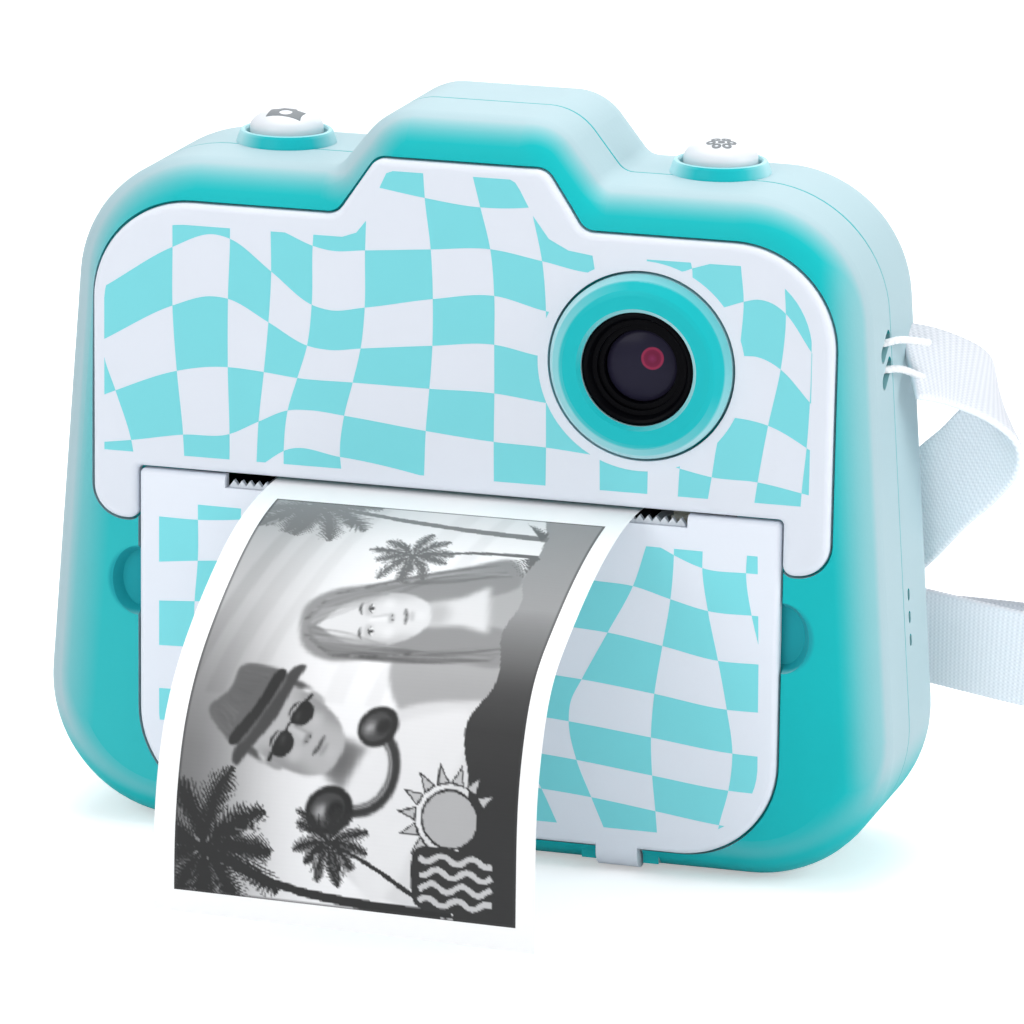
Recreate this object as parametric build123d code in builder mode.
from build123d import *
import math
import os

# Instant-print camera for children, with its paper door, thermal print unit, a finished
# print and a neck strap.  Millimetres.  The front faces -Y and +Z is up; +X is on the right
# as seen from the front.  The origin is on the bottom face, on the centre line, within the
# depth of the body.  Cuts through a surface run a few millimetres past it.

os.makedirs("parts", exist_ok=True)

# ---------------------------------------------------------------- driving dimensions
# Case
BODY_H = 112.8          # to the top of the finder hump
SHOULDER_Z = 103.5      # height of the two shoulders
BASE_HALF = 68.0        # virtual half width at the base, before rounding
SIDE_SLOPE = 0.075      # the sides lean in by this much per mm of height
BASE_R = 21.0
SHOULDER_R = 20.0
HUMP_FOOT, HUMP_TOP = 20.5, 13.1            # half widths of the hump
Y_FRONT = -19.1
Y_SEAM = -2.5           # where the two shells meet
Y_BACK = 19.0
WALL = 2.2
EDGE_FRONT, EDGE_BACK = 6.5, 8.5            # rounding of the outer edges
FIT_GAP = 0.4           # round the faceplate and the door

# Case screws, (x, z)
SCREWS = [(-54.0, 16.0), (54.0, 16.0), (-50.0, 89.0), (50.0, 89.0)]
BOSS_R = 3.0
SCREW_R = 0.8
SCREW_HOLE_R = 1.15
SCREW_SEAT_Y = 6.0      # where the heads bear

# Faceplate over the upper front
PLATE_FRONT, PLATE_BACK = -20.0, -17.6
PLATE_HALF, PLATE_TOP = 57.5, 97.4
PLATE_HUMP_FOOT, PLATE_HUMP_TOP = 19.1, 13.0
PLATE_HUMP_Z = 106.3
PLATE_LOW, LEG_LOW, LEG_IN = 56.42, 48.05, 50.4   # the legs reach down beside the door

# Paper door and its hinge along X
DOOR_HALF, DOOR_LOW, DOOR_TOP = 50.1, 3.6, 56.0
DOOR_FRONT, DOOR_BACK = -19.8, -17.9
BAY_HALF, BAY_LOW = 43.6, 5.6               # opening of the paper bay behind the door
HINGE_Y, HINGE_Z = HINGE = (-16.8, 3.2)
KNUCKLE_R, PIN_R = 3.0, 0.75
KNUCKLE_X0, KNUCKLE_X1 = 22.6, 29.0
KNUCKLE_W = KNUCKLE_X1 - KNUCKLE_X0
KNUCKLE_STARTS = (KNUCKLE_X0, -KNUCKLE_X1)  # -X end of each knuckle
KNUCKLE_GAP = 0.4       # at each end of a knuckle
PIN_OVERHANG = 2.4      # of a pin past each end of its knuckle

# Lens and top buttons
LENS_X, LENS_Z = LENS = (28.4, 78.1)
BEZEL_R = 13.95
BUTTON_X, BUTTON_Y = 34.1, 2.0
BUTTONS = [(-BUTTON_X, BUTTON_Y), (BUTTON_X, BUTTON_Y)]
BUTTON_WELL_Z, BUTTON_WELL_R = 98, 7.1

# Back: display, direction pad and the two round keys above and below it, (x, z)
SCREEN = (12.0, 66.0)
WINDOW_W, WINDOW_H, WINDOW_R = 64.0, 50.0, 4.0
WINDOW_Y = 17.8         # floor of the window recess
OPENING_W, OPENING_H = 52, 40
SCREEN_GAP = 0.3
PAD_X, PAD_Z = PAD = (-38.0, 62.0)
KEYS = [(PAD_X, PAD_Z + 19), (PAD_X, PAD_Z - 19)]
PAD_R, PAD_BORE_R, KEY_R = 10.0, 4.2, 3.6

# Sides: speaker on the +X side, socket on the -X side
SPEAKER_Z, VENT_PITCH = 37.8, 3.5
PORT_Z = 40
PORT_BEAD = (-64.2, 11.0)                   # (x, y) of the upright bead on the port cover
BEAD_HALF, BEAD_GAP = 5.8, 0.3              # half height, and the gap at each end

# Strap lug: two slots in each side with a bridge between
SLOT_Z = (80.6, 76.6)
SLOT_Y0, SLOT_Y1 = -8.6, -3.2
LUG_Y = (SLOT_Y0 + SLOT_Y1) / 2

# Print unit; positions are (y, z) of axes along X
PLATEN_Y, PLATEN_Z = PLATEN = (-11.5, 51.3)
PLATEN_R, SHAFT_R, BUSH_R = 4.0, 1.2, 2.1
RIB_IN, RIB_T = 29.6, 1.6                   # the door ribs that carry the platen
RIB_STARTS = (RIB_IN, -RIB_IN - RIB_T)
ROLL_Y, ROLL_Z = ROLL = (-1.5, 24.0)
ROLL_R, ROLL_GAP = 12.5, 0.4
PAPER_W, PAPER_T = 57.0, 0.2

# Gear train: platen gear, two-step reduction gear, motor pinion
GEAR_M = 0.5            # gear module
N_PLATEN, N_SMALL, N_LARGE, N_PINION = 16, 14, 36, 14
TRAIN_ANGLE = -40.0     # direction from the reduction gear to the motor, degrees
REDUCER_Y, REDUCER_Z = REDUCER = (PLATEN_Y + GEAR_M * (N_PLATEN + N_SMALL) / 2, PLATEN_Z)
MOTOR_REACH = GEAR_M * (N_LARGE + N_PINION) / 2
MOTOR = (REDUCER_Y + MOTOR_REACH * math.cos(math.radians(TRAIN_ANGLE)),
         REDUCER_Z + MOTOR_REACH * math.sin(math.radians(TRAIN_ANGLE)))
GEAR_X, SMALL_W = 32.0, 3.6                 # start of the train, width of the small step
AXLE_R = 1.0


# --------------------------------------------------------------------------- helpers
def at_x(x):
    """Plane across X: local axes Y and Z, extrudes towards +X."""
    return Plane.YZ.offset(x)


def at_y(y):
    """Plane across Y: local axes X and Z, extrudes towards -Y, the front."""
    return Plane.XZ.offset(-y)


def at_z(z):
    """Plane across Z: local axes X and Y, extrudes upwards."""
    return Plane.XY.offset(z)


def near(value, target):
    return abs(value - target) < 0.1


def save(shape, name):
    """Label a finished piece and write its STEP file."""
    shape.label = name
    export_step(shape, f"parts/{name}.step")


def half_at(z):
    """Half width of the straight part of the body's side at height z."""
    return BASE_HALF - SIDE_SLOPE * z


def gear_points(teeth, tooth_angle, backlash=0.10, addendum=0.80, dedendum=1.15):
    """Closed outline of an involute spur gear; one tooth is centred on tooth_angle."""
    pitch_r = GEAR_M * teeth / 2
    base_r = pitch_r * math.cos(math.radians(20))
    tip_r, root_r = pitch_r + addendum * GEAR_M, pitch_r - dedendum * GEAR_M
    start_r = max(base_r, root_r)
    involute_20 = math.tan(math.radians(20)) - math.radians(20)
    half_tooth = (math.pi * GEAR_M / 2 - backlash) / (2 * pitch_r)
    flank = []          # (radius, half angle of the tooth there), root to tip
    for i in range(6):
        r = start_r + (tip_r - start_r) * i / 5
        pressure = math.acos(min(1.0, base_r / r))
        flank.append((r, half_tooth + involute_20 - (math.tan(pressure) - pressure)))
    if base_r > root_r:
        flank.insert(0, (root_r, flank[0][1]))
    points = []
    for k in range(teeth):
        centre = math.radians(tooth_angle) + 2 * math.pi * k / teeth
        for r, half in flank:
            points.append((r * math.cos(centre - half), r * math.sin(centre - half)))
        for r, half in reversed(flank):
            points.append((r * math.cos(centre + half), r * math.sin(centre + half)))
    return points


def gear_outline(teeth, tooth_angle):
    """Gear face about the origin; call it outside any builder."""
    with BuildSketch() as outline:
        with BuildLine():
            Polyline(*gear_points(teeth, tooth_angle), close=True)
        make_face()
    return outline.sketch_local


# ------------------------------------------------------------------ shared outlines
with BuildSketch(Plane.XZ) as body_outline:
    with BuildLine():
        Polyline((-half_at(0), 0), (half_at(0), 0), (half_at(SHOULDER_Z), SHOULDER_Z),
                 (HUMP_FOOT, SHOULDER_Z), (HUMP_TOP, BODY_H), (-HUMP_TOP, BODY_H),
                 (-HUMP_FOOT, SHOULDER_Z), (-half_at(SHOULDER_Z), SHOULDER_Z), close=True)
    make_face()
    fillet([v for v in body_outline.vertices() if v.Y < 1], BASE_R)
    fillet([v for v in body_outline.vertices()
            if near(v.Y, SHOULDER_Z) and abs(v.X) > 50], SHOULDER_R)
    fillet([v for v in body_outline.vertices()
            if near(v.Y, SHOULDER_Z) and near(abs(v.X), HUMP_FOOT)], 3.0)
    fillet([v for v in body_outline.vertices() if near(v.Y, BODY_H)], 9.0)

with BuildSketch(Plane.XZ) as cavity_outline:
    add(body_outline.sketch_local)
    offset(amount=-WALL)

with BuildSketch(Plane.XZ) as plate_outline:
    with BuildLine():
        Polyline((-PLATE_HALF, LEG_LOW), (-LEG_IN, LEG_LOW), (-LEG_IN, PLATE_LOW),
                 (LEG_IN, PLATE_LOW), (LEG_IN, LEG_LOW), (PLATE_HALF, LEG_LOW),
                 (PLATE_HALF, PLATE_TOP), (PLATE_HUMP_FOOT, PLATE_TOP),
                 (PLATE_HUMP_TOP, PLATE_HUMP_Z), (-PLATE_HUMP_TOP, PLATE_HUMP_Z),
                 (-PLATE_HUMP_FOOT, PLATE_TOP), (-PLATE_HALF, PLATE_TOP), close=True)
    make_face()
    fillet([v for v in plate_outline.vertices()
            if near(v.Y, PLATE_TOP) and abs(v.X) > 50], 15.5)
    fillet([v for v in plate_outline.vertices()
            if near(v.Y, PLATE_TOP) and near(abs(v.X), PLATE_HUMP_FOOT)], 3.0)
    fillet([v for v in plate_outline.vertices() if v.Y > PLATE_HUMP_Z - 0.1], 2.8)
    fillet([v for v in plate_outline.vertices()
            if v.Y < LEG_LOW + 0.1 and abs(v.X) > 57], 5.0)
    fillet([v for v in plate_outline.vertices()
            if v.Y < LEG_LOW + 0.1 and near(abs(v.X), LEG_IN)], 1.6)
    fillet([v for v in plate_outline.vertices() if near(v.Y, PLATE_LOW)], 0.8)

with BuildSketch(Plane.XZ) as door_outline:
    with BuildLine():
        Polyline((-DOOR_HALF, DOOR_LOW), (DOOR_HALF, DOOR_LOW), (DOOR_HALF, DOOR_TOP),
                 (-DOOR_HALF, DOOR_TOP), close=True)
    make_face()
    fillet([v for v in door_outline.vertices() if v.Y < DOOR_LOW + 0.1], 15.0)
    fillet([v for v in door_outline.vertices() if v.Y > DOOR_TOP - 0.1], 0.8)


# ------------------------------------------------------------------------ half cases
def half_case(face_y, edge_r, floor_y, floor_r, boss_end_y):
    """Hollow half of the case from the seam to face_y, with its four screw bosses."""
    far, seam = (0, -1) if face_y < Y_SEAM else (-1, 0)
    with BuildPart() as hollow:
        with BuildSketch(at_y(Y_SEAM)):
            add(cavity_outline.sketch_local)
        extrude(amount=Y_SEAM - floor_y)
        fillet(hollow.edges().group_by(Axis.Y)[far], floor_r)
    with BuildPart() as case:
        with BuildSketch(at_y(Y_SEAM)):
            add(body_outline.sketch_local)
        extrude(amount=Y_SEAM - face_y)
        fillet(case.edges().group_by(Axis.Y)[far], edge_r)
        chamfer(case.edges().group_by(Axis.Y)[seam], 0.25)
        add(hollow.part, mode=Mode.SUBTRACT)
        with BuildSketch(at_y(Y_SEAM)):
            with Locations(*SCREWS):
                Circle(BOSS_R)
        extrude(amount=Y_SEAM - boss_end_y)
    return case.part


# ----------------------------------------------------------------------- front shell
front_case = half_case(face_y=Y_FRONT, edge_r=EDGE_FRONT, floor_y=-16.0, floor_r=4.0,
                       boss_end_y=-16.7)
with BuildPart() as front_shell:
    add(front_case)
    # ears for the door's hinge pins, either side of each knuckle
    with BuildSketch(at_z(1.0)):
        for side in (-1, 1):
            with Locations((side * (KNUCKLE_X0 - 1.6), -15.2), (side * (KNUCKLE_X1 + 1.6), -15.2)):
                Rectangle(2.4, 4.6)
    extrude(amount=4.4)
    # recess for the faceplate
    with BuildSketch(at_y(PLATE_BACK)):
        add(plate_outline.sketch_local)
        offset(amount=FIT_GAP)
    extrude(amount=4, mode=Mode.SUBTRACT)
    # recess for the door, then the opening of the paper bay behind it
    with BuildSketch(at_y(-17.5)):
        add(door_outline.sketch_local)
        offset(amount=FIT_GAP)
    extrude(amount=4, mode=Mode.SUBTRACT)
    with BuildSketch(at_y(-15.0)):
        with Locations((0, (BAY_LOW + PLATE_LOW) / 2)):
            RectangleRounded(2 * BAY_HALF, PLATE_LOW - BAY_LOW, 2.0)
    extrude(amount=6, mode=Mode.SUBTRACT)
    # finger scoops either side of the door
    with BuildSketch(at_y(-17.3)):
        with Locations((-50.4, 38.3), (50.4, 38.3)):
            Ellipse(3.2, 4.4)
    extrude(amount=2.6, taper=-30, mode=Mode.SUBTRACT)
    # lens well
    with BuildSketch(at_y(-15.0)):
        with Locations(LENS):
            Circle(8.9)
    extrude(amount=6, mode=Mode.SUBTRACT)
    # wells for the hinge knuckles, open to the front
    for x in KNUCKLE_STARTS:
        with BuildSketch(at_x(x - KNUCKLE_GAP)):
            with Locations(HINGE):
                Circle(KNUCKLE_R + 0.35)
            with Locations((HINGE_Y - 2.1, 3.4)):
                Rectangle(4.2, 7.4)
        extrude(amount=KNUCKLE_W + 2 * KNUCKLE_GAP, mode=Mode.SUBTRACT)
    # pin bores through the ears
    with BuildSketch(at_x(-31.5)):
        with Locations(HINGE):
            Circle(PIN_R)
    extrude(amount=63, mode=Mode.SUBTRACT)
    # strap slots, through both sides
    for z in SLOT_Z:
        with BuildSketch(at_x(-70)):
            with Locations((LUG_Y, z)):
                SlotOverall(SLOT_Y1 - SLOT_Y0 + 1.0, 2.3, rotation=30)
        extrude(amount=140, mode=Mode.SUBTRACT)
    # button wells through the top
    with BuildSketch(at_z(BUTTON_WELL_Z)):
        with Locations(*BUTTONS):
            Circle(BUTTON_WELL_R)
    extrude(amount=6, mode=Mode.SUBTRACT)
    # thread cores of the screw bosses
    with BuildSketch(at_y(Y_SEAM)):
        with Locations(*SCREWS):
            Circle(SCREW_R)
    extrude(amount=10.0, mode=Mode.SUBTRACT)
save(front_shell.part, "front_shell")

# ------------------------------------------------------------------------ rear shell
rear_case = half_case(face_y=Y_BACK, edge_r=EDGE_BACK, floor_y=17.0, floor_r=4.5,
                      boss_end_y=17.2)
with BuildPart() as rear_shell:
    add(rear_case)
    # display recess and window opening
    with BuildSketch(at_y(WINDOW_Y)):
        with Locations(SCREEN):
            RectangleRounded(WINDOW_W + 2 * SCREEN_GAP, WINDOW_H + 2 * SCREEN_GAP,
                             WINDOW_R + SCREEN_GAP)
    extrude(amount=-3, mode=Mode.SUBTRACT)
    with BuildSketch(at_y(16)):
        with Locations(SCREEN):
            Rectangle(OPENING_W, OPENING_H)
    extrude(amount=-4, mode=Mode.SUBTRACT)
    # openings for the direction pad and the round keys
    with BuildSketch(at_y(16)):
        with Locations(PAD):
            Circle(PAD_R + 0.3)
        with Locations(*KEYS):
            Circle(KEY_R + 0.2)
    extrude(amount=-4, mode=Mode.SUBTRACT)
    # speaker vents in the +X side
    for step in (1, 0, -1):
        with BuildSketch(at_x(58)):
            with Locations((0.8, SPEAKER_Z + step * VENT_PITCH)):
                SlotOverall(1.9, 1.2, rotation=90)
        extrude(amount=10, mode=Mode.SUBTRACT)
    # cover recess, bead groove and socket opening in the -X side
    with BuildSketch(at_x(-62.8)):
        with Locations((5.9, PORT_Z)):
            RectangleRounded(9.9, 12.2, 1.2)
    extrude(amount=-5, mode=Mode.SUBTRACT)
    with BuildSketch(at_z(PORT_Z - BEAD_HALF - BEAD_GAP)):
        with Locations(PORT_BEAD):
            Circle(2.1)
    extrude(amount=2 * (BEAD_HALF + BEAD_GAP), mode=Mode.SUBTRACT)
    with BuildSketch(at_x(-58)):
        with Locations((6.1, PORT_Z)):
            Rectangle(7.4, 9.8)
    extrude(amount=-8, mode=Mode.SUBTRACT)
    # button wells through the top
    with BuildSketch(at_z(BUTTON_WELL_Z)):
        with Locations(*BUTTONS):
            Circle(BUTTON_WELL_R)
    extrude(amount=6, mode=Mode.SUBTRACT)
    # screw holes, counterbored from the back
    with BuildSketch(at_y(Y_SEAM)):
        with Locations(*SCREWS):
            Circle(SCREW_HOLE_R)
    extrude(amount=-30, mode=Mode.SUBTRACT)
    with BuildSketch(at_y(SCREW_SEAT_Y)):
        with Locations(*SCREWS):
            Circle(2.2)
    extrude(amount=-20, mode=Mode.SUBTRACT)
save(rear_shell.part, "rear_shell")

# ------------------------------------------------------------------------- faceplate
with BuildPart() as faceplate:
    with BuildSketch(at_y(PLATE_BACK)):
        add(plate_outline.sketch_local)
    extrude(amount=PLATE_BACK - PLATE_FRONT)
    fillet(faceplate.edges().group_by(Axis.Y)[0], 1.1)
    with BuildSketch(at_y(PLATE_BACK)):
        with Locations(LENS):
            Circle(BEZEL_R + 0.42)
    extrude(amount=5, mode=Mode.SUBTRACT)
save(faceplate.part, "faceplate")

# ------------------------------------------------------------------------ lens group
# Turned profiles, (radius, distance in front of y = 0)
BEZEL_PROFILE = [(8.6, 17.6), (BEZEL_R, 17.6), (BEZEL_R, 20.2), (13.2, 21.7), (11.9, 22.7),
                 (11.2, 22.9), (9.2, 22.9), (8.6, 22.3)]
BARREL_PROFILE = [(8.5, 13.0), (8.5, 21.9), (8.1, 22.1), (7.7, 21.9), (7.4, 21.4), (7.2, 20.9),
                  (6.5, 20.9), (6.4, 20.3), (5.6, 20.3), (5.5, 20.1), (5.5, 18.5), (4.4, 18.5),
                  (4.4, 13.0)]
GLASS_R = 5.4
GLASS_BACK, GLASS_RIM, GLASS_CROWN = 18.6, 19.3, 20.25


def save_turned_lens(part, name):
    """Turn a piece revolved about +Y to face the front, on the lens axis."""
    save(Pos(LENS_X, 0, LENS_Z) * (Rot(180, 0, 0) * part), name)


with BuildPart() as lens_bezel:
    with BuildSketch(Plane.XY) as bezel_sketch:
        with BuildLine():
            Polyline(*BEZEL_PROFILE, close=True)
        make_face()
        fillet([v for v in bezel_sketch.vertices() if v.X > 11.0 and v.Y > 20.5], 0.9)
    revolve(axis=Axis.Y)
save_turned_lens(lens_bezel.part, "lens_bezel")

with BuildPart() as lens_barrel:
    with BuildSketch(Plane.XY):
        with BuildLine():
            Polyline(*BARREL_PROFILE, close=True)
        make_face()
    revolve(axis=Axis.Y)
save_turned_lens(lens_barrel.part, "lens_barrel")

with BuildPart() as lens_glass:
    with BuildSketch(Plane.XY):
        with BuildLine():
            Line((0, GLASS_BACK), (GLASS_R, GLASS_BACK))
            Line((GLASS_R, GLASS_BACK), (GLASS_R, GLASS_RIM))
            Bezier((GLASS_R, GLASS_RIM), (4.4, 19.9), (2.5, GLASS_CROWN), (0, GLASS_CROWN))
            Line((0, GLASS_CROWN), (0, GLASS_BACK))
        make_face()
    revolve(axis=Axis.Y)
save_turned_lens(lens_glass.part, "lens_glass")

SENSOR_Y, SENSOR_T = -11.2, 1.2             # back face and thickness of the board
with BuildPart() as inner_lens:
    with BuildSketch(at_y(SENSOR_Y - SENSOR_T)):
        with Locations(LENS):
            Circle(4.2)
    extrude(amount=5.4)
    fillet(inner_lens.edges().group_by(Axis.Y)[0], 1.2)
save(inner_lens.part, "inner_lens")

with BuildPart() as sensor_board:
    with BuildSketch(at_y(SENSOR_Y)):
        with Locations(LENS):
            RectangleRounded(18, 18, 1.5)
    extrude(amount=SENSOR_T)
    # block on the back of the board
    with BuildSketch(at_y(-8.8)):
        with Locations((LENS_X, LENS_Z - 5)):
            Rectangle(10, 4)
    extrude(amount=2.4)
save(sensor_board.part, "sensor_board")

# ------------------------------------------------------ top buttons and their collars
# Turned profiles, (radius, z)
COLLAR_PROFILE = [(6.2, 98.8), (7.05, 98.8), (7.05, 103.5), (7.63, 103.5), (7.58, 103.8),
                  (7.17, 105.0), (6.98, 105.35), (6.7, 105.5), (6.4, 105.4), (6.2, 105.1)]
CAP_FOOT, CAP_RIM, CAP_CROWN = (0, 96.4), (5.6, 105.8), (0, 108.45)
CAP_PROFILE = [CAP_FOOT, (2.0, 96.4), (2.0, 97.2), (6.9, 97.2), (6.9, 98.2), (5.6, 98.2),
               CAP_RIM]

with BuildPart() as collar:
    with BuildSketch(Plane.XZ):
        with BuildLine():
            Polyline(*COLLAR_PROFILE, close=True)
        make_face()
    revolve(axis=Axis.Z)

with BuildPart() as cap:
    with BuildSketch(Plane.XZ):
        with BuildLine():
            Polyline(*CAP_PROFILE)
            Bezier(CAP_RIM, (5.55, 107.2), (3.4, 108.45), CAP_CROWN)
            Line(CAP_CROWN, CAP_FOOT)
        make_face()
    revolve(axis=Axis.Z)

for kind, (x, y) in zip(("shutter", "effects"), BUTTONS):
    save(Pos(x, y, 0) * collar.part, kind + "_collar")
    save(Pos(x, y, 0) * cap.part, kind + "_button")

with BuildPart() as top_switches:
    # board, switch body and plunger under each button
    with BuildSketch(at_z(90.4)):
        with Locations(*BUTTONS):
            RectangleRounded(14, 9, 1)
    extrude(amount=1.2)
    with BuildSketch(at_z(91.6)):
        with Locations(*BUTTONS):
            Rectangle(6, 6)
    extrude(amount=2.2)
    with BuildSketch(at_z(93.8)):
        with Locations(*BUTTONS):
            Circle(1.6)
    extrude(amount=1.2)
save(top_switches.part, "top_switches")

# ------------------------------------------------------------ back: display and keys
with BuildPart() as display_window:
    with BuildSketch(at_y(WINDOW_Y)):
        with Locations(SCREEN):
            RectangleRounded(WINDOW_W, WINDOW_H, WINDOW_R)
    extrude(amount=-1.4)
    chamfer(display_window.edges().group_by(Axis.Y)[-1], 0.3)
save(display_window.part, "display_window")

with BuildPart() as display_module:
    with BuildSketch(at_y(13.6)):
        with Locations(SCREEN):
            Rectangle(OPENING_W - 2 * SCREEN_GAP, OPENING_H - 2 * SCREEN_GAP)
    extrude(amount=-3.8)
save(display_module.part, "display_module")

BOARD_Y = 11.3          # front face of the main board
with BuildPart() as main_board:
    with BuildSketch(at_y(BOARD_Y)):
        with Locations((0, 73.5)):
            RectangleRounded(88, 43, 2)
        with Locations((-40, 46)):
            Rectangle(14, 14)
    extrude(amount=-1.2)
    # chips on the front face
    with BuildSketch(at_y(BOARD_Y)):
        with Locations((-8, 78)):
            Rectangle(12, 12)
        with Locations((14, 66), (-22, 64)):
            Rectangle(8, 6)
    extrude(amount=1.4)
save(main_board.part, "main_board")

with BuildPart() as rear_switches:
    with BuildSketch(at_y(12.6)):
        with Locations(PAD, *KEYS):
            Rectangle(4.4, 4.4)
    extrude(amount=-1.4)
save(rear_switches.part, "rear_switches")

# The pad and the keys are each a wide flange inside the shell and a cap through it
with BuildPart() as direction_pad:
    with BuildSketch(at_y(14.8)):
        with Locations(PAD):
            Circle(PAD_R + 1.2)
            Circle(PAD_BORE_R, mode=Mode.SUBTRACT)
    extrude(amount=-1.2)
    with BuildSketch(at_y(16.0)):
        with Locations(PAD):
            Circle(PAD_R)
            Circle(PAD_BORE_R, mode=Mode.SUBTRACT)
    extrude(amount=-4.2)
    fillet(direction_pad.edges().group_by(Axis.Y)[-1], 0.7)
save(direction_pad.part, "direction_pad")

with BuildPart() as ok_button:
    with BuildSketch(at_y(14.4)):
        with Locations(PAD):
            Circle(PAD_BORE_R - 0.3)
    extrude(amount=-6.2)
    fillet(ok_button.edges().group_by(Axis.Y)[-1], 0.7)
save(ok_button.part, "ok_button")

for key_name, centre in zip(("power_button", "menu_button"), KEYS):
    with BuildPart() as key:
        with BuildSketch(at_y(14.6)):
            with Locations(centre):
                Circle(KEY_R + 0.8)
        extrude(amount=-1.0)
        with BuildSketch(at_y(15.6)):
            with Locations(centre):
                Circle(KEY_R)
        extrude(amount=-4.4)
        fillet(key.edges().group_by(Axis.Y)[-1], 0.6)
    save(key.part, key_name)

# -------------------------------------------------------------- sound, power, socket
with BuildPart() as speaker:
    with BuildSketch(at_x(57.6)):
        with Locations((1.0, SPEAKER_Z)):
            Circle(8.5)
    extrude(amount=3.4)
save(speaker.part, "speaker")

with BuildPart() as battery:
    with BuildSketch(at_y(13.0)):
        with Locations((0, 24)):
            RectangleRounded(56, 32, 1.5)
    extrude(amount=-3.7)
save(battery.part, "battery")

with BuildPart() as usb_connector:
    # sleeve with a tongue inside, then the block that closes its inner end
    with BuildSketch(at_x(-61.4)):
        with Locations((6.2, PORT_Z)):
            RectangleRounded(3.2, 8.9, 1.5)
            RectangleRounded(2.6, 8.3, 1.2, mode=Mode.SUBTRACT)
            Rectangle(0.7, 6.4)
    extrude(amount=6.6)
    with BuildSketch(at_x(-54.8)):
        with Locations((6.2, PORT_Z)):
            Rectangle(4.6, 10)
    extrude(amount=0.8)
save(usb_connector.part, "usb_connector")

COVER_X = -62.9         # inner face of the cover
with BuildPart() as port_cover:
    with BuildSketch(at_x(COVER_X)):
        with Locations((6.0, PORT_Z)):
            RectangleRounded(9.4, 11.6, 1.0)
    extrude(amount=-1.1)
    # plug into the socket opening
    with BuildSketch(at_x(COVER_X)):
        with Locations((6.4, PORT_Z)):
            RectangleRounded(5.6, 8.8, 0.8)
    extrude(amount=1.2)
    # upright bead
    with BuildSketch(at_z(PORT_Z - BEAD_HALF)):
        with Locations(PORT_BEAD):
            Circle(0.9)
    extrude(amount=2 * BEAD_HALF)
save(port_cover.part, "port_cover")

# ------------------------------------------------------------------------ paper door
NOTCH_X = -0.25         # centre of the notch and of the tear bar in it
RIB_PROFILE = [         # (y, z)
    (-18.2, 40.0), (-15.5, 42.0), (-8.6, 47.5), (-8.0, 50.0), (-8.0, 53.4), (-9.0, 54.2),
    (-15.5, 54.2), (-18.2, 53.8)]

with BuildPart() as paper_door:
    with BuildSketch(at_y(DOOR_BACK)):
        add(door_outline.sketch_local)
    extrude(amount=DOOR_BACK - DOOR_FRONT)
    fillet(paper_door.edges().group_by(Axis.Y)[0], 0.9)
    # exit notch in the top edge
    with BuildSketch(at_y(-17)):
        with Locations((NOTCH_X, 55.4)):
            Rectangle(72.3, 2.6)
    extrude(amount=5, mode=Mode.SUBTRACT)
    # the lower edge is a thin skirt, so that it swings under the hinge
    with BuildSketch(at_y(-16.5)):
        with Locations((0, 3.0)):
            Rectangle(140, 5.0)
    extrude(amount=2.7, mode=Mode.SUBTRACT)
    # hinge knuckles, each with a web to the door
    for x in (-KNUCKLE_X1, KNUCKLE_X0):
        with BuildSketch(at_x(x)):
            with Locations(HINGE):
                Circle(KNUCKLE_R)
            with Locations(((DOOR_FRONT + DOOR_BACK) / 2, 6.0)):
                Rectangle(DOOR_BACK - DOOR_FRONT, 5.6)
        extrude(amount=KNUCKLE_W)
    # ribs that carry the platen roller
    for x in RIB_STARTS:
        with BuildSketch(at_x(x)):
            with BuildLine():
                Polyline(*RIB_PROFILE, close=True)
            make_face()
        extrude(amount=RIB_T)
    # bores for the platen bushes and the hinge pins
    for centre, bore_r in ((PLATEN, BUSH_R), (HINGE, PIN_R + 0.06)):
        with BuildSketch(at_x(-33)):
            with Locations(centre):
                Circle(bore_r)
        extrude(amount=66, mode=Mode.SUBTRACT)
save(paper_door.part, "paper_door")

# Serrated tear edge set in the door's notch
TEETH, TOOTH_PITCH = 56, 1.27
TEAR_HALF = 35.65
TEAR_LOW, TOOTH_ROOT, TOOTH_TIP = 54.15, 54.45, 55.3

first_x = NOTCH_X - TEETH * TOOTH_PITCH / 2
tear_points = [(NOTCH_X - TEAR_HALF, TEAR_LOW)]
for i in range(TEETH):
    tear_points.append((first_x + i * TOOTH_PITCH, TOOTH_ROOT))
    tear_points.append((first_x + (i + 0.5) * TOOTH_PITCH, TOOTH_TIP))
tear_points.append((first_x + TEETH * TOOTH_PITCH, TOOTH_ROOT))
tear_points.append((NOTCH_X + TEAR_HALF, TEAR_LOW))

with BuildPart() as tear_bar:
    with BuildSketch(at_y(-18.2)):
        with BuildLine():
            Polyline(*tear_points, close=True)
        make_face()
    extrude(amount=0.9)
save(tear_bar.part, "tear_bar")

with BuildPart() as hinge_pins:
    for x in KNUCKLE_STARTS:
        with BuildSketch(at_x(x - PIN_OVERHANG)):
            with Locations(HINGE):
                Circle(PIN_R)
        extrude(amount=KNUCKLE_W + 2 * PIN_OVERHANG)
save(hinge_pins.part, "hinge_pins")

# --------------------------------------------------------------------- platen roller
with BuildPart() as platen_shaft:
    with BuildSketch(at_x(-32.4)):
        with Locations(PLATEN):
            Circle(SHAFT_R)
    extrude(amount=67.6)
save(platen_shaft.part, "platen_shaft")

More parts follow.
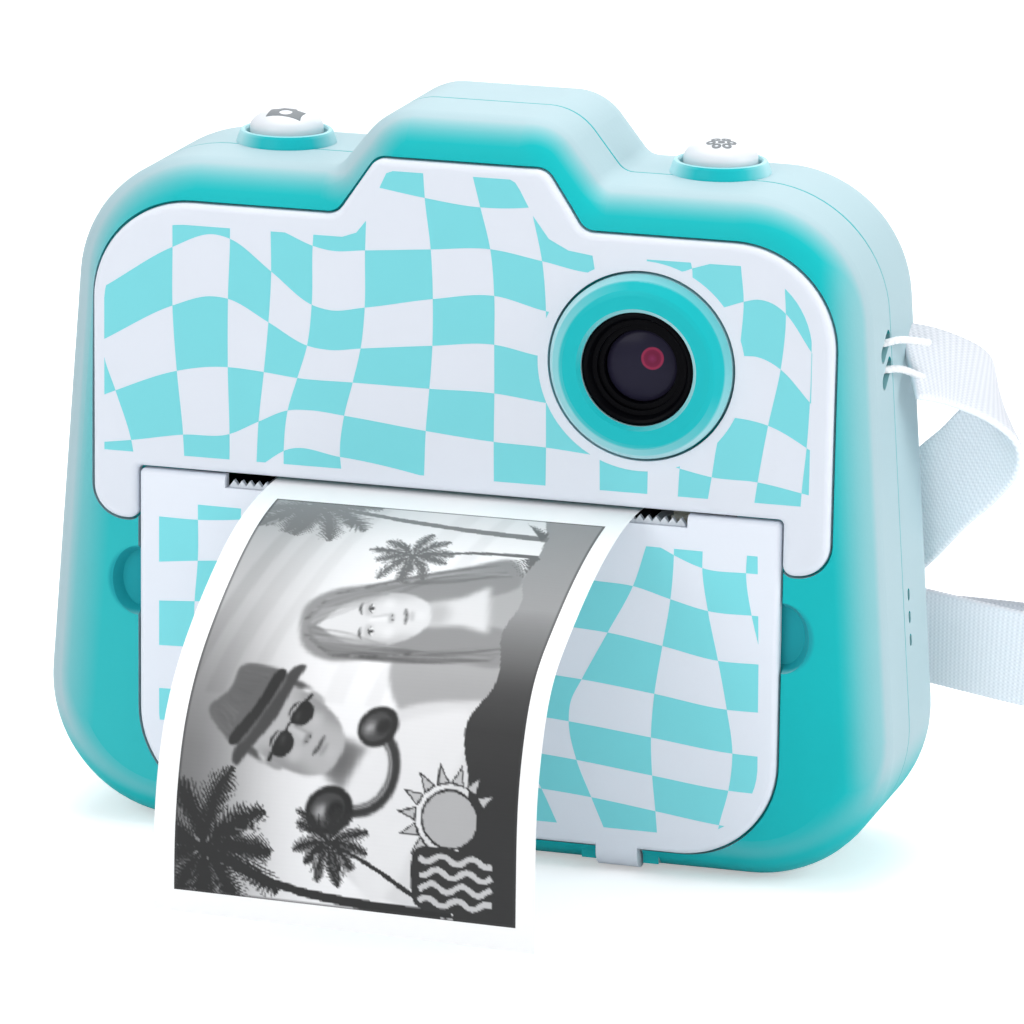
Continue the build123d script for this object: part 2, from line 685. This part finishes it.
ROLLER_HALF = 28.8
with BuildPart() as platen_roller:
    with BuildSketch(at_x(-ROLLER_HALF)):
        with Locations(PLATEN):
            Circle(PLATEN_R)
            Circle(SHAFT_R, mode=Mode.SUBTRACT)
    extrude(amount=2 * ROLLER_HALF)
    chamfer(platen_roller.edges().filter_by(GeomType.CIRCLE)
            .filter_by(lambda e: abs(e.radius - PLATEN_R) < 0.01), 0.4)
save(platen_roller.part, "platen_roller")

with BuildPart() as platen_bushes:
    for x in RIB_STARTS:
        with BuildSketch(at_x(x)):
            with Locations(PLATEN):
                Circle(BUSH_R)
                Circle(SHAFT_R + 0.05, mode=Mode.SUBTRACT)
        extrude(amount=RIB_T)
save(platen_bushes.part, "platen_bushes")

# -------------------------------------------------------------- gear train and motor
# Each mesh has a tooth of one gear facing a gap of the other along the line of centres
platen_teeth = gear_outline(N_PLATEN, 0.0)
small_teeth = gear_outline(N_SMALL, 180.0 + 180.0 / N_SMALL)
large_teeth = gear_outline(N_LARGE, TRAIN_ANGLE)
pinion_teeth = gear_outline(N_PINION, TRAIN_ANGLE + 180.0 + 180.0 / N_PINION)

with BuildPart() as platen_gear:
    with BuildSketch(at_x(GEAR_X)):
        with Locations(PLATEN):
            add(platen_teeth)
            Circle(SHAFT_R, mode=Mode.SUBTRACT)
    extrude(amount=3.0)
save(platen_gear.part, "platen_gear")

with BuildPart() as reduction_gear:
    with BuildSketch(at_x(GEAR_X)):
        with Locations(REDUCER):
            add(small_teeth)
    extrude(amount=SMALL_W)
    with BuildSketch(at_x(GEAR_X + SMALL_W)):
        with Locations(REDUCER):
            add(large_teeth)
    extrude(amount=2.2)
    with BuildSketch(at_x(31.0)):
        with Locations(REDUCER):
            Circle(AXLE_R + 0.06)
    extrude(amount=10, mode=Mode.SUBTRACT)
save(reduction_gear.part, "reduction_gear")

with BuildPart() as gear_axle:
    with BuildSketch(at_x(31.6)):
        with Locations(REDUCER):
            Circle(AXLE_R)
    extrude(amount=9.4)
save(gear_axle.part, "gear_axle")

MOTOR_X, MOTOR_L = 12.0, 20.9
with BuildPart() as motor:
    with BuildSketch(at_x(MOTOR_X)):
        with Locations(MOTOR):
            Circle(5.6)
    extrude(amount=MOTOR_L)
    chamfer(motor.edges().filter_by(GeomType.CIRCLE), 0.5)
save(motor.part, "motor")

with BuildPart() as motor_pinion:
    with BuildSketch(at_x(35.2)):
        with Locations(MOTOR):
            add(pinion_teeth)
    extrude(amount=3.0)
    # shaft towards the motor
    with BuildSketch(at_x(33.0)):
        with Locations(MOTOR):
            Circle(1.0)
    extrude(amount=2.4)
save(motor_pinion.part, "motor_pinion")

# --------------------------------------------------------------------- printer frame
CHEEK_T = 2.0
GEAR_CHEEK_X, FAR_CHEEK_X = 38.8, -37.0     # -X faces of the two cheeks
BRIDGE_Z = 62.0
GEAR_CHEEK = [          # (y, z)
    (-7.5, 47.0), (-1.0, 36.0), (10.5, 36.0), (10.5, 60.0), (7.0, 64.0), (-4.0, 64.0),
    (-7.5, 61.0)]
FAR_CHEEK = [           # (y, z)
    (-6.0, 46.0), (-1.0, 40.0), (10.5, 40.0), (10.5, 60.0), (7.0, 64.0), (-4.0, 64.0),
    (-6.0, 61.0)]
frame_end = GEAR_CHEEK_X + CHEEK_T

with BuildPart() as printer_frame:
    # +X cheek, holding the gear axle
    with BuildSketch(at_x(GEAR_CHEEK_X)):
        with BuildLine():
            Polyline(*GEAR_CHEEK, close=True)
        make_face()
    extrude(amount=CHEEK_T)
    # inner cheek against the end of the motor, and the floor that joins it on
    with BuildSketch(at_x(MOTOR_X + MOTOR_L)):
        with Locations((5.4, 43.4)):
            Rectangle(10.2, 14.8)
    extrude(amount=1.6)
    with BuildSketch(at_z(36.0)):
        with Locations((36.85, 5.4)):
            Rectangle(7.9, 10.2)
    extrude(amount=1.4)
    # -X cheek
    with BuildSketch(at_x(FAR_CHEEK_X)):
        with BuildLine():
            Polyline(*FAR_CHEEK, close=True)
        make_face()
    extrude(amount=CHEEK_T)
    # bridge between the cheeks, above the head
    with BuildSketch(at_z(BRIDGE_Z)):
        with Locations(((frame_end + FAR_CHEEK_X) / 2, 1.5)):
            Rectangle(frame_end - FAR_CHEEK_X, 8.0)
    extrude(amount=2.0)
    # boss round the gear axle, its bore, and the hole for the motor shaft
    with BuildSketch(at_x(38.0)):
        with Locations(REDUCER):
            Circle(2.4)
    extrude(amount=0.9)
    with BuildSketch(at_x(37.5)):
        with Locations(REDUCER):
            Circle(AXLE_R)
    extrude(amount=4.0, mode=Mode.SUBTRACT)
    with BuildSketch(at_x(32)):
        with Locations(MOTOR):
            Circle(1.6)
    extrude(amount=3.0, mode=Mode.SUBTRACT)
save(printer_frame.part, "printer_frame")

# ------------------------------------------------------------------------ print head
# A ceramic strip at 45 degrees behind and above the platen, on a heat sink
head_reach = PLATEN_R + 0.12
HEAD_PLANE = Plane(origin=(0, PLATEN_Y + head_reach * math.cos(math.radians(45)),
                           PLATEN_Z + head_reach * math.sin(math.radians(45))),
                   x_dir=(1, 0, 0), z_dir=(0, 1, 1))
STRIP_T = 1.0
with BuildPart() as print_head:
    with BuildSketch(HEAD_PLANE):
        with Locations((0, 0.4)):
            Rectangle(57.0, 6.4)
    extrude(amount=STRIP_T)
    with BuildSketch(HEAD_PLANE.offset(STRIP_T)):
        with Locations((0, 0.6)):
            Rectangle(56.0, 7.6)
    extrude(amount=1.6)
save(print_head.part, "print_head")

# springs as plain tubes, hanging from the bridge
with BuildPart() as head_springs:
    with BuildSketch(at_z(BRIDGE_Z)):
        with Locations((-16, -0.6), (16, -0.6)):
            Circle(1.4)
            Circle(0.9, mode=Mode.SUBTRACT)
    extrude(amount=-3.2)
save(head_springs.part, "head_springs")

# ----------------------------------------------------------------------------- paper
CRADLE_HALF = 30.4
with BuildPart() as paper_cradle:
    # trough: the lower part of a tube round the roll
    with BuildSketch(at_x(-CRADLE_HALF)):
        with Locations(ROLL):
            Circle(ROLL_R + ROLL_GAP + 1.0)
            Circle(ROLL_R + ROLL_GAP, mode=Mode.SUBTRACT)
        with Locations((ROLL_Y, ROLL_Z + 12)):
            Rectangle(40, 30, mode=Mode.SUBTRACT)
    extrude(amount=2 * CRADLE_HALF)
    # two feet, cut back to the inside of the trough
    with BuildSketch(at_z(WALL)):
        with Locations((-22, ROLL_Y), (22, ROLL_Y)):
            Rectangle(3.0, 12.0)
    extrude(amount=9.0)
    with BuildSketch(at_x(-40)):
        with Locations(ROLL):
            Circle(ROLL_R + ROLL_GAP)
    extrude(amount=80, mode=Mode.SUBTRACT)
save(paper_cradle.part, "paper_cradle")

with BuildPart() as paper_roll:
    with BuildSketch(at_x(-PAPER_W / 2)):
        with Locations(ROLL):
            Circle(ROLL_R)
            Circle(4.0, mode=Mode.SUBTRACT)
    extrude(amount=PAPER_W)
save(paper_roll.part, "paper_roll")

# Finished print: straight through the slot, then curling down towards the table.
# Stations (y, z) from the slot outwards.
PRINT_CURVE = [
    (-20.0, 55.6), (-24.0, 55.3), (-33.9, 53.2), (-45.2, 49.4), (-55.0, 44.7),
    (-63.0, 39.0), (-68.2, 32.2), (-70.7, 24.8), (-71.8, 15.0), (-72.0, 3.4)]
with BuildPart() as photo_print:
    with BuildSketch(at_x(-28.9)):
        with BuildLine():
            Line((-10.9, 55.6), PRINT_CURVE[0])
            Spline(*PRINT_CURVE, tangents=((-1, -0.02), (0, -1)))
        trace(line_width=PAPER_T)
    extrude(amount=PAPER_W)
save(photo_print.part, "photo_print")

# ----------------------------------------------------------------------------- strap
STRAP_W, STRAP_T = 15.0, 1.2
STRAP_STEPS = 60
# Centre line of the webbing, (x, y, z), from the +X lug round to the -X lug
STRAP_PATH = [
    (64.4, 4.9, 76.3), (66.2, 8.5, 75.3), (69.0, 13.0, 73.0), (72.0, 17.4, 69.9),
    (74.2, 22.2, 65.7), (74.4, 29.0, 60.2), (71.7, 34.5, 55.7), (68.0, 37.4, 52.2),
    (62.1, 39.6, 48.1), (56.2, 41.4, 43.6), (48.7, 43.0, 38.2), (34.0, 45.0, 32.5),
    (8.0, 48.5, 28.0), (-14.0, 53.0, 25.0), (-22.0, 60.0, 22.5), (-12.0, 67.0, 21.5),
    (18.0, 63.5, 21.5), (40.0, 54.5, 22.0), (57.0, 45.5, 22.8), (66.0, 41.0, 22.8),
    (75.0, 38.0, 22.4), (87.0, 38.5, 21.0), (94.0, 47.0, 19.0), (89.0, 60.0, 16.5),
    (68.0, 74.0, 14.0), (30.0, 82.0, 12.0), (-18.0, 81.0, 13.0), (-52.0, 66.0, 22.0),
    (-69.0, 44.0, 42.0), (-69.6, 21.0, 63.0), (-66.6, 9.5, 74.2), (-64.4, 4.9, 76.3)]
with BuildLine() as strap_line:
    Spline(*STRAP_PATH)


def strap_plane(i):
    """Cross-section plane of the ribbon at station i: width upright, thickness level."""
    heading = strap_line.line % (i / STRAP_STEPS)
    return Plane(origin=strap_line.line @ (i / STRAP_STEPS), x_dir=(0, 0, 1),
                 z_dir=(heading.X, heading.Y, 0))


with BuildPart() as strap_webbing:
    for i in range(STRAP_STEPS):
        with BuildSketch(strap_plane(i), strap_plane(i + 1)):
            Rectangle(STRAP_W, STRAP_T)
        loft(ruled=True)
save(strap_webbing.part, "strap_webbing")

# Cord loop on each side: in through the upper slot and back out through the lower.
# Stations (x, y, z) of the +X loop; the other is its mirror image.
CORD_R = 0.55
CORD_PATH = [
    (65.9, 4.8, 79.2), (65.2, 2.2, 79.9), (64.2, -0.8, 80.7), (62.9, -3.8, 81.2),
    (61.2, -5.5, 80.9), (58.4, -6.4, 80.0), (57.2, -6.6, 78.6), (58.4, -6.4, 77.2),
    (61.2, -5.5, 76.9), (62.9, -3.8, 76.9), (64.2, -0.8, 76.0), (65.2, 2.2, 74.7),
    (65.9, 4.8, 73.6)]
with BuildPart() as strap_cords:
    for side in (-1, 1):
        with BuildLine() as cord_line:
            Spline(*[(side * x, y, z) for x, y, z in CORD_PATH])
        with BuildSketch(Plane(origin=cord_line.line @ 0, z_dir=cord_line.line % 0)):
            Circle(CORD_R)
        sweep(path=cord_line.line)
save(strap_cords.part, "strap_cords")

# ------------------------------------------------------------------------- fasteners
with BuildPart() as case_screws:
    # heads with a cross recess, then the shanks
    with BuildSketch(at_y(SCREW_SEAT_Y)):
        with Locations(*SCREWS):
            Circle(1.9)
    extrude(amount=-1.5)
    with BuildSketch(at_y(SCREW_SEAT_Y + 1.6)):
        with Locations(*SCREWS):
            Rectangle(2.4, 0.5)
            Rectangle(0.5, 2.4)
    extrude(amount=0.7, mode=Mode.SUBTRACT)
    with BuildSketch(at_y(SCREW_SEAT_Y)):
        with Locations(*SCREWS):
            Circle(SCREW_R)
    extrude(amount=17.0)
save(case_screws.part, "case_screws")
